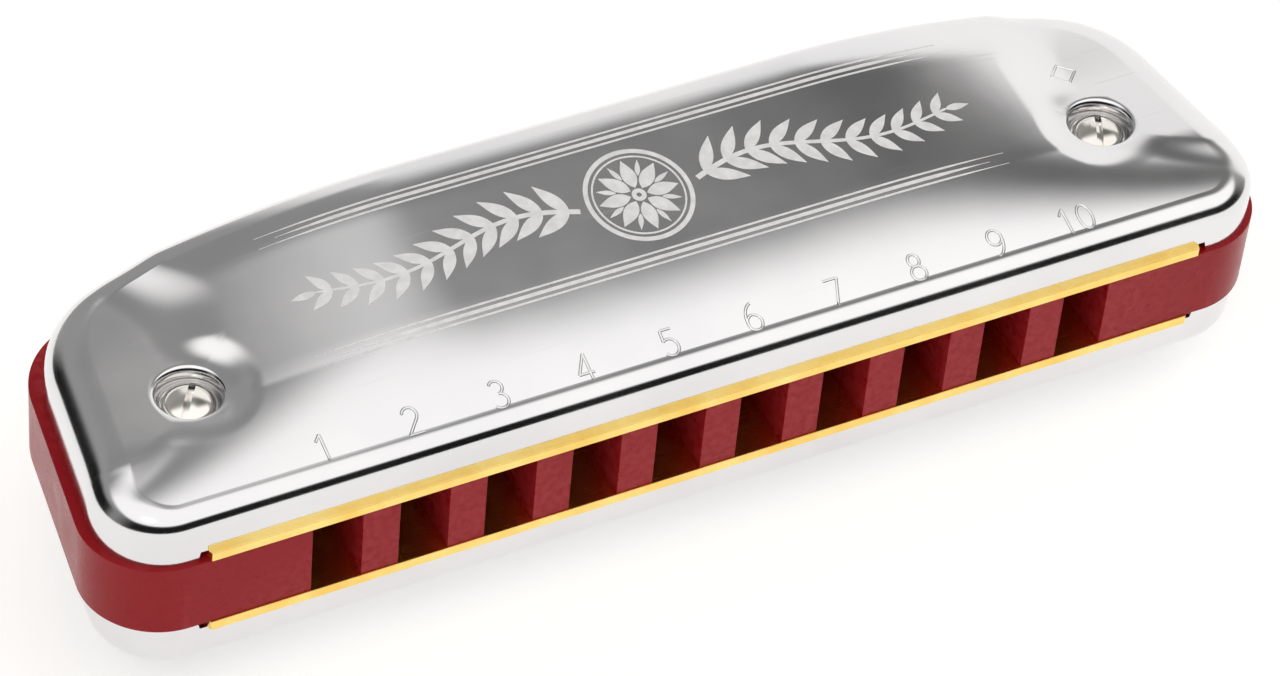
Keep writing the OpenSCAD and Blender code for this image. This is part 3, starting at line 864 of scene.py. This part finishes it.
def build_pads_and_rivets(kind, pad_brass, rivet_brass):
    """Pads with rounded corners, and domed rivets through them into the plate."""
    pads, rivets = Shapes(), Shapes()
    outer = kind == "draw"
    face = PLATE_FACE if outer else COMB_FACE
    for i in range(1, HOLES + 1):
        x, y = hole_x(i), pad_middle(kind, i)
        # A draw pad lies on the lower plate's outer face, and a blow pad hangs
        # under the upper plate, so both reach down from their face.
        top = -face if outer else face
        outline = rounded_rectangle(x, y, REED_WIDTH / 2, PAD_LENGTH / 2, PAD_CORNER)
        pads.add(*slab(outline, top - PAD_THICKNESS, top))
        head = [(r, -z) for r, z in dome(RIVET_RADIUS + RIVET_RIM, 0, RIVET_HEAD, RIVET_EDGE)]
        rivets.add(*lathe(list(reversed(head)), 32), at=(x, y, top - PAD_THICKNESS))
        end = -COMB_FACE if outer else PLATE_FACE
        shank_radius = RIVET_RADIUS - RIVET_PLAY
        shank = [(shank_radius, top - PAD_THICKNESS), (shank_radius, end)]
        rivets.add(*lathe(shank, 32), at=(x, y, 0))
    pad = pads.object(f"{kind}_pads", pad_brass)
    bevel(pad, 0.06, 2)
    place(pad, "body", "reed_brass", f"{kind}_reed_pads")
    place(rivets.object(f"{kind}_rivets", rivet_brass), "body", "rivet_brass", f"{kind}_reed_rivets")


def rounded_rectangle(x, y, half_x, half_y, radius, steps=5):
    outline = []
    for turn, sx, sy in ((0, 1, 1), (90, -1, 1), (180, -1, -1), (270, 1, -1)):
        cx, cy = x + sx * (half_x - radius), y + sy * (half_y - radius)
        outline += arc(cx, cy, radius, radius, turn, turn + 90, steps)
    return outline


# ---- Fasteners ----
HEAD_RADIUS = 2.15
SHANK_RADIUS = 0.9
SLOT_WIDTH = 0.55
SLOT_DEPTH = 0.6
SLOT_TURNS = (56.0, 65.0)
NUT_RADIUS = 2.05
NUT_CHAMFER = 0.3
SHANK_CHAMFER = 0.15
HEAD_EDGE = 0.3
SMALL_SHANK = 0.58  # radii and height of the plates' small screws
SMALL_HEAD = 1.2
SMALL_HEAD_HEIGHT = 0.5
SMALL_HEAD_EDGE = 0.15
SMALL_SLOT_WIDTH = 0.3
SMALL_SLOT_DEPTH = 0.25


def slot_cutter(at, turn, reach, floor, top, width):
    """A bar for cutting a screwdriver slot."""
    points, faces = block((-reach, -width / 2, floor), (reach, width / 2, top))
    c, s = math.cos(turn), math.sin(turn)
    return [(at[0] + x * c - y * s, at[1] + x * s + y * c, z) for x, y, z in points], faces


def build_cover_screws(nickel):
    heads, slots = Shapes(), Shapes()
    shank = [(SHANK_RADIUS, NUT_LOW + SHANK_CHAMFER), (SHANK_RADIUS, SEAT_Z)]
    profile = [(0.02, NUT_LOW), (SHANK_RADIUS - SHANK_CHAMFER, NUT_LOW)] + shank
    profile += dome(HEAD_RADIUS, SEAT_Z, HEAD_TOP, HEAD_EDGE, 12)
    for at, turn in zip(SCREWS, SLOT_TURNS):
        heads.add(*lathe(profile, 72), at=at)
        slots.add(*slot_cutter(at, math.radians(turn), HEAD_RADIUS + CUT,
                               HEAD_TOP - SLOT_DEPTH, HEAD_TOP + CUT, SLOT_WIDTH))
    screws = heads.object("cover_screw_pair", nickel)
    cut(screws, slots)
    bevel(screws, 0.05, 2, 50)
    place(screws, "body", "screw_steel", "cover_screws")


def build_cover_nuts(nickel):
    """Hexagon nuts with chamfered outer corners."""
    nuts = Shapes()
    sides = 60
    apothem = NUT_RADIUS * math.cos(math.pi / 6)
    turns = [2 * math.pi * k / sides for k in range(sides)]
    hexagon = [apothem / math.cos((a + math.pi / 6) % (math.pi / 3) - math.pi / 6) for a in turns]

    def ring(z, limit=NUT_RADIUS):
        """The hexagon at a height, cut to a circle of a limiting radius."""
        return [(min(r, limit) * math.cos(a), min(r, limit) * math.sin(a), z)
                for r, a in zip(hexagon, turns)]

    bore = [(SHANK_RADIUS * math.cos(a), SHANK_RADIUS * math.sin(a)) for a in turns]
    rings = [[(x, y, NUT_HIGH) for x, y in bore], ring(NUT_HIGH), ring(NUT_LOW + NUT_CHAMFER),
             ring(NUT_LOW, apothem + 0.02), [(x, y, NUT_LOW) for x, y in bore]]
    points, faces = stack(rings + [rings[0]], closed_ends=False)
    for at in SCREWS:
        nuts.add(points, faces, at=at)
    place(nuts.object("cover_nut_pair", nickel, 25), "body", "screw_steel", "cover_nuts")


def build_plate_screws(small_brass):
    heads, slots = Shapes(), Shapes()
    tip = COMB_FACE - PILOT_DEPTH
    profile = [(0.05, tip), (SMALL_SHANK, tip + 0.5), (SMALL_SHANK, PLATE_FACE)]
    profile += dome(SMALL_HEAD, PLATE_FACE, PLATE_FACE + SMALL_HEAD_HEIGHT, SMALL_HEAD_EDGE)
    for number, (x, y) in enumerate(PLATE_SCREWS):
        for flip in (False, True):
            heads.add(*lathe(profile, 40), at=(x, y, 0), flip=flip)
            turn = math.radians(25 + 47 * number + 31 * flip)
            bar = slot_cutter((x, y), turn, SMALL_HEAD + CUT, PLATE_FACE + SMALL_SLOT_DEPTH,
                              PLATE_FACE + CUT, SMALL_SLOT_WIDTH)
            slots.add(*bar, flip=flip)
    screws = heads.object("plate_screw_set", small_brass)
    cut(screws, slots)
    place(screws, "body", "small_screw_brass", "reed_plate_screws")


# ---- Materials ----
NOISE = (0.3, 0.7)  # range that most of a noise's values lie in
WORN_FROM = 0.52  # pointiness at which an edge starts to look worn
WORN_FULLY = 0.6


class Tree:
    """A small helper for writing shader nodes."""

    def __init__(self, tree):
        self.tree = tree

    def add(self, kind, **settings):
        node = self.tree.nodes.new(kind)
        for key, value in settings.items():
            setattr(node, key, value)
        return node

    def link(self, source, target):
        self.tree.links.new(source, target)

    def remap(self, value, *limits, **settings):
        """Maps a value from one range, low and high, to another."""
        node = self.add("ShaderNodeMapRange", **settings)
        for key, number in zip(("From Min", "From Max", "To Min", "To Max"), limits):
            node.inputs[key].default_value = number
        self.link(value, node.inputs["Value"])
        return node.outputs["Result"]

    def math(self, operation, a, b):
        node = self.add("ShaderNodeMath", operation=operation)
        for socket, value in zip(node.inputs, (a, b)):
            if isinstance(value, (int, float)):
                socket.default_value = value
            else:
                self.link(value, socket)
        return node.outputs["Value"]


class Nodes(Tree):
    """The nodes of one material."""

    def __init__(self, name):
        self.material = bpy.data.materials.new(name)
        self.material.use_nodes = True
        super().__init__(self.material.node_tree)
        self.shader = self.tree.nodes["Principled BSDF"]
        self.place = self.add("ShaderNodeTexCoord").outputs["Object"]

    def noise(self, per_mm, detail=3, roughness=0.5, stretch=(1, 1, 1), turn=0, seed=0):
        """Noise with so many features a millimetre, stretched and turned about Z."""
        mapping = self.add("ShaderNodeMapping")
        mapping.inputs["Rotation"].default_value = (0, 0, math.radians(turn))
        mapping.inputs["Location"].default_value = (seed, 0.37 * seed, 0.71 * seed)
        mapping.inputs["Scale"].default_value = stretch
        self.link(self.place, mapping.inputs["Vector"])
        noise = self.add("ShaderNodeTexNoise")
        for key, value in (("Scale", per_mm / MM), ("Detail", detail), ("Roughness", roughness)):
            noise.inputs[key].default_value = value
        self.link(mapping.outputs["Vector"], noise.inputs["Vector"])
        return noise.outputs["Fac"]

    def blend(self, share, dark, light):
        node = self.add("ShaderNodeMix", data_type="RGBA")
        # A colour mix node's sockets 0, 6, 7 and 2 are its share, colours and result
        self.link(share, node.inputs[0])
        for socket, colour in ((node.inputs[6], dark), (node.inputs[7], light)):
            if isinstance(colour, tuple):
                socket.default_value = (*colour, 1)
            else:
                self.link(colour, socket)
        return node.outputs[2]

    def bump(self, height, strength, distance_mm, under=None):
        node = self.add("ShaderNodeBump")
        node.inputs["Strength"].default_value = strength
        node.inputs["Distance"].default_value = distance_mm * MM
        self.link(height, node.inputs["Height"])
        if under is not None:
            self.link(under, node.inputs["Normal"])
        return node.outputs["Normal"]

    def worn(self):
        """Share of wear: high on outward edges, broken up by noise."""
        pointiness = self.add("ShaderNodeNewGeometry").outputs["Pointiness"]
        edge = self.remap(pointiness, WORN_FROM, WORN_FULLY, 0, 1)
        return self.math("MULTIPLY", edge, self.remap(self.noise(1.5), 0.35, 0.6, 0, 1))

    def finish(self, colour=None, roughness=None, normal=None, **settings):
        for name, value in settings.items():
            self.shader.inputs[name.replace("_", " ")].default_value = value
        for name, value in (("Base Color", colour), ("Roughness", roughness), ("Normal", normal)):
            if value is not None:
                self.link(value, self.shader.inputs[name])
        return self.material


def scratches(nodes, turn, seed):
    """Share of fine straight scratches in one direction."""
    streaks = nodes.noise(0.05, 2, 0.6, (1, 60, 1), turn, seed)
    patches = nodes.remap(nodes.noise(0.12, 2, seed=seed + 3), 0.5, 0.62, 0, 1)
    return nodes.math("MULTIPLY", nodes.remap(streaks, 0.62, 0.7, 0, 1), patches)


def polished_steel(name, low_rough, high_rough, light=(0.80, 0.80, 0.81), dark=(0.70, 0.70, 0.72)):
    """Bright nickel-plated steel with cloudy polish and hairline scratches."""
    nodes = Nodes(name)
    cloud = nodes.noise(0.06, 4, 0.55)
    marks = nodes.math("MAXIMUM", scratches(nodes, 12, 1), scratches(nodes, -34, 5))
    rough = nodes.remap(cloud, *NOISE, low_rough, high_rough)
    rough = nodes.math("ADD", rough, nodes.math("MULTIPLY", marks, 0.05))
    colour = nodes.blend(nodes.remap(cloud, 0.25, 0.75, 0, 1), dark, light)
    fine = nodes.bump(nodes.noise(9, 2), 0.02, 0.01)
    normal = nodes.bump(marks, 0.025, 0.002, fine)
    return nodes.finish(colour, rough, normal, Metallic=1.0)


def etched_steel():
    """The frosted finish of the etched ornament."""
    nodes = Nodes("etched_steel")
    grain = nodes.noise(14, 2)
    patches = nodes.remap(nodes.noise(1.2), *NOISE, 0, 1)
    colour = nodes.blend(patches, (0.80, 0.80, 0.81), (0.93, 0.93, 0.93))
    rough = nodes.remap(grain, *NOISE, 0.5, 0.68)
    return nodes.finish(colour, rough, nodes.bump(grain, 0.3, 0.02), Metallic=0.75)


def milled_brass(name, light, dark, low_rough, high_rough, streak=(1, 40, 1)):
    """Rolled brass with milling streaks along X and faint tarnish."""
    nodes = Nodes(name)
    lines = nodes.noise(0.35, 3, 0.6, streak)
    tarnish = nodes.noise(0.25, 5, 0.6, seed=2)
    shade = nodes.math("MULTIPLY", nodes.remap(tarnish, 0.35, 0.65, 0, 1), 0.8)
    colour = nodes.blend(nodes.math("ADD", shade, nodes.remap(lines, *NOISE, 0, 0.2)), light, dark)
    rough = nodes.remap(lines, *NOISE, low_rough, high_rough)
    return nodes.finish(colour, rough, nodes.bump(lines, 0.12, 0.01), Metallic=1.0)


def red_plastic():
    """Glossy moulded plastic, with a faint orange-peel surface and rubbed edges."""
    nodes = Nodes("red_plastic")
    cloud = nodes.noise(0.08, 4, 0.6)
    body = nodes.blend(nodes.remap(cloud, *NOISE, 0, 1), (0.31, 0.004, 0.009), (0.34, 0.006, 0.012))
    colour = nodes.blend(nodes.math("MULTIPLY", nodes.worn(), 0.35), body, (0.50, 0.06, 0.07))
    smudge = nodes.noise(0.35, 4, 0.6, seed=4)
    rough = nodes.remap(smudge, *NOISE, 0.24, 0.34)
    peel = nodes.bump(nodes.noise(1.1, 2), 0.03, 0.01)
    normal = nodes.bump(nodes.noise(16, 2, seed=6), 0.03, 0.003, peel)
    return nodes.finish(colour, rough, normal, IOR=1.5, Specular_IOR_Level=0.16)


# ---- Light, floor and camera ----
SOFTBOX = 1.25
SOFTBOX_EDGE = (0.08, 0.34)
SOFTBOX_REACH = 0.16  # by which the softbox reaches further back at the left
CEILING_LEFT = 0.30
CEILING_RIGHT = 0.15
BACK_WALL = 1.0
BACK_LOW = 0.35
RIGHT_CARD = 1.1
FRONT_DARK = 0.01
LEFT_DARK = 0.01
CORNER_LIGHT = 3.0
CORNER_AIM = (-0.43, -0.38, 0.82)
BACKDROP = (1.0, 1.0, 1.0)
FLOOR_GLOW = 0.40
FLOOR_RADIUS = 1500.0
FLOOR_SIDES = 96


def build_world():
    """A studio that reflections see as large soft cards: a softbox overhead in front
    with a dimmer ceiling behind it, a dark gap near the horizon in front, bright cards
    behind and at the right, and a dark corner at the back left."""
    world = bpy.data.worlds.new("studio")
    world.use_nodes = True
    bpy.context.scene.world = world
    sky = Tree(world.node_tree)
    sky.tree.nodes.clear()
    calc = sky.math

    def ramp(value, low, high, out_low=0.0, out_high=1.0):
        """Smooth change from one value to another as the input goes from low to high."""
        return sky.remap(value, low, high, out_low, out_high, interpolation_type="SMOOTHSTEP")

    def fade(a, b, share):
        """a where share is 0 and b where it is 1."""
        return calc("ADD", calc("MULTIPLY", a, calc("SUBTRACT", 1, share)), calc("MULTIPLY", b, share))

    # x, y and z belong to the unit vector of the direction that a reflection looks in
    direction = sky.add("ShaderNodeTexCoord").outputs["Generated"]
    split = sky.add("ShaderNodeSeparateXYZ")
    sky.link(direction, split.inputs[0])
    x, y, z = split.outputs

    def spot(aim, inner, outer):
        """Share of a round soft card round a direction, with radii in degrees."""
        dot = sky.add("ShaderNodeVectorMath", operation="DOT_PRODUCT")
        sky.link(direction, dot.inputs[0])
        dot.inputs[1].default_value = Vector(aim).normalized()
        inner, outer = (math.cos(math.radians(angle)) for angle in (inner, outer))
        return ramp(dot.outputs["Value"], outer, inner)

    # Overhead, from front to back: the front softbox ends in a soft edge, and the
    # ceiling behind it darkens to the right
    ceiling = ramp(x, 0.28, 0.46, CEILING_LEFT, CEILING_RIGHT)
    edge = calc("SUBTRACT", y, ramp(x, 0.36, 0.26, 0.0, SOFTBOX_REACH))
    overhead = fade(SOFTBOX, ceiling, ramp(edge, *SOFTBOX_EDGE))
    # Lower down: dark in front, a far and a near card behind, and one at the right
    far = calc("MULTIPLY", ramp(y, 0.70, 0.80), ramp(x, 0.12, 0.28))
    near = calc("MULTIPLY", ramp(y, 0.47, 0.60), ramp(x, 0.27, 0.34))
    near = calc("MULTIPLY", near, ramp(x, 0.44, 0.38))
    behind = fade(BACK_LOW, BACK_WALL, calc("MAXIMUM", far, near))
    slant = calc("ADD", y, calc("MULTIPLY", x, 0.7))
    at_right = calc("MULTIPLY", ramp(x, 0.36, 0.43), ramp(slant, 0.83, 0.90))
    behind = fade(behind, RIGHT_CARD, at_right)
    low_level = fade(FRONT_DARK, behind, ramp(y, -0.45, 0.2))
    at_left = calc("MULTIPLY", ramp(x, -0.3, -0.6), ramp(y, 0.0, 0.3))
    low_level = fade(low_level, LEFT_DARK, calc("MULTIPLY", at_left, ramp(z, 0.60, 0.42)))
    # The line between the two is higher behind than in front
    height = calc("SUBTRACT", z, ramp(y, -0.4, 0.55, 0.0, 0.17))
    studio = fade(low_level, overhead, ramp(height, 0.50, 0.60))
    studio = fade(studio, CORNER_LIGHT, spot(CORNER_AIM, 5, 9))

    background = sky.add("ShaderNodeBackground")
    sky.link(studio, background.inputs["Strength"])
    background.inputs["Color"].default_value = (1.0, 0.985, 0.965, 1)
    backdrop = sky.add("ShaderNodeBackground")
    backdrop.inputs["Color"].default_value = (*BACKDROP, 1)
    choice = sky.add("ShaderNodeMixShader")
    sky.link(sky.add("ShaderNodeLightPath").outputs["Is Camera Ray"], choice.inputs["Fac"])
    sky.link(background.outputs[0], choice.inputs[1])
    sky.link(backdrop.outputs[0], choice.inputs[2])
    output = sky.add("ShaderNodeOutputWorld")
    sky.link(choice.outputs[0], output.inputs["Surface"])


def build_floor():
    """A plain pale floor that the lower cover's ridge touches."""
    low = cad_box[0][2] / MM
    rings = [circle(FLOOR_RADIUS * share, low, FLOOR_SIDES) for share in (0.1, 0.3, 1.0)]
    points, faces = stack(rings, closed_ends=False)
    faces.append(tuple(range(FLOOR_SIDES)))
    nodes = Nodes("floor_paper")
    tone = nodes.remap(nodes.noise(0.01, 3), *NOISE, 0, 1)
    colour = nodes.blend(tone, (0.86, 0.86, 0.85), (0.89, 0.89, 0.88))
    rough = nodes.remap(nodes.noise(0.8, 3), *NOISE, 0.75, 0.9)
    nodes.finish(colour, rough, nodes.bump(nodes.noise(3, 2), 0.05, 0.02),
                 Emission_Color=(1.0, 0.99, 0.97, 1), Emission_Strength=FLOOR_GLOW)
    floor = new_object("floor", points, faces, nodes.material)


CAMERA_AZIMUTH = -30.66
CAMERA_ELEVATION = 44.78
CAMERA_ROLL = 5.81
CAMERA_DISTANCE = 415.63
CAMERA_TARGET = (-0.10, 0.0, -2.22)
CAMERA_LENS = 141.74


def build_camera():
    a, e, r = (math.radians(v) for v in (CAMERA_AZIMUTH, CAMERA_ELEVATION, CAMERA_ROLL))
    back = Vector((math.sin(a) * math.cos(e), -math.cos(a) * math.cos(e), math.sin(e)))
    right = (-back).cross(Vector((0, 0, 1))).normalized()
    up = right.cross(-back)
    turned_right = right * math.cos(r) + up * math.sin(r)
    turned_up = up * math.cos(r) - right * math.sin(r)
    data = bpy.data.cameras.new("camera")
    data.lens = CAMERA_LENS
    data.sensor_width = 36
    data.clip_start = 0.01
    data.clip_end = 10
    camera = bpy.data.objects.new("camera", data)
    bpy.context.scene.collection.objects.link(camera)
    turn = Matrix((turned_right, turned_up, back)).transposed().to_4x4()
    place_mm = back * CAMERA_DISTANCE + Vector(CAMERA_TARGET)
    camera.matrix_world = Matrix.Translation(place_mm * MM) @ turn
    bpy.context.scene.camera = camera


# ---- The harmonica ----
build_camera()
build_world()
build_floor()
bpy.context.scene.view_settings.view_transform = "Standard"

steel = polished_steel("cover_steel", 0.10, 0.17)
stamped_steel = polished_steel("stamped_steel", 0.12, 0.2)
nickel = polished_steel("screw_nickel", 0.08, 0.15, (0.86, 0.83, 0.79), (0.70, 0.67, 0.63))
plate_brass = milled_brass("plate_brass", (1.0, 0.77, 0.27), (0.92, 0.60, 0.14), 0.16, 0.28)
reed_brass = milled_brass("reed_brass", (0.95, 0.68, 0.28), (0.80, 0.50, 0.16), 0.26, 0.40,
                          streak=(40, 1, 1))
rivet_brass = milled_brass("rivet_brass", (0.92, 0.66, 0.30), (0.72, 0.45, 0.16), 0.20, 0.34,
                           streak=(1, 1, 1))
small_brass = milled_brass("small_screw_brass", (0.90, 0.66, 0.30), (0.70, 0.46, 0.18), 0.2, 0.3,
                           streak=(1, 1, 1))

build_comb(red_plastic())
build_plate("blow_reed_plate", "blow", False, plate_brass)
build_plate("draw_reed_plate", "draw", True, plate_brass)
for kind in ("blow", "draw"):
    for i in range(1, HOLES + 1):
        build_tongue(kind, i, reed_brass)
    build_pads_and_rivets(kind, reed_brass, rivet_brass)
build_covers(steel)
build_hole_numbers(stamped_steel)
build_key_mark(stamped_steel)
build_ornament(etched_steel())
build_cover_screws(nickel)
build_cover_nuts(nickel)
build_plate_screws(small_brass)
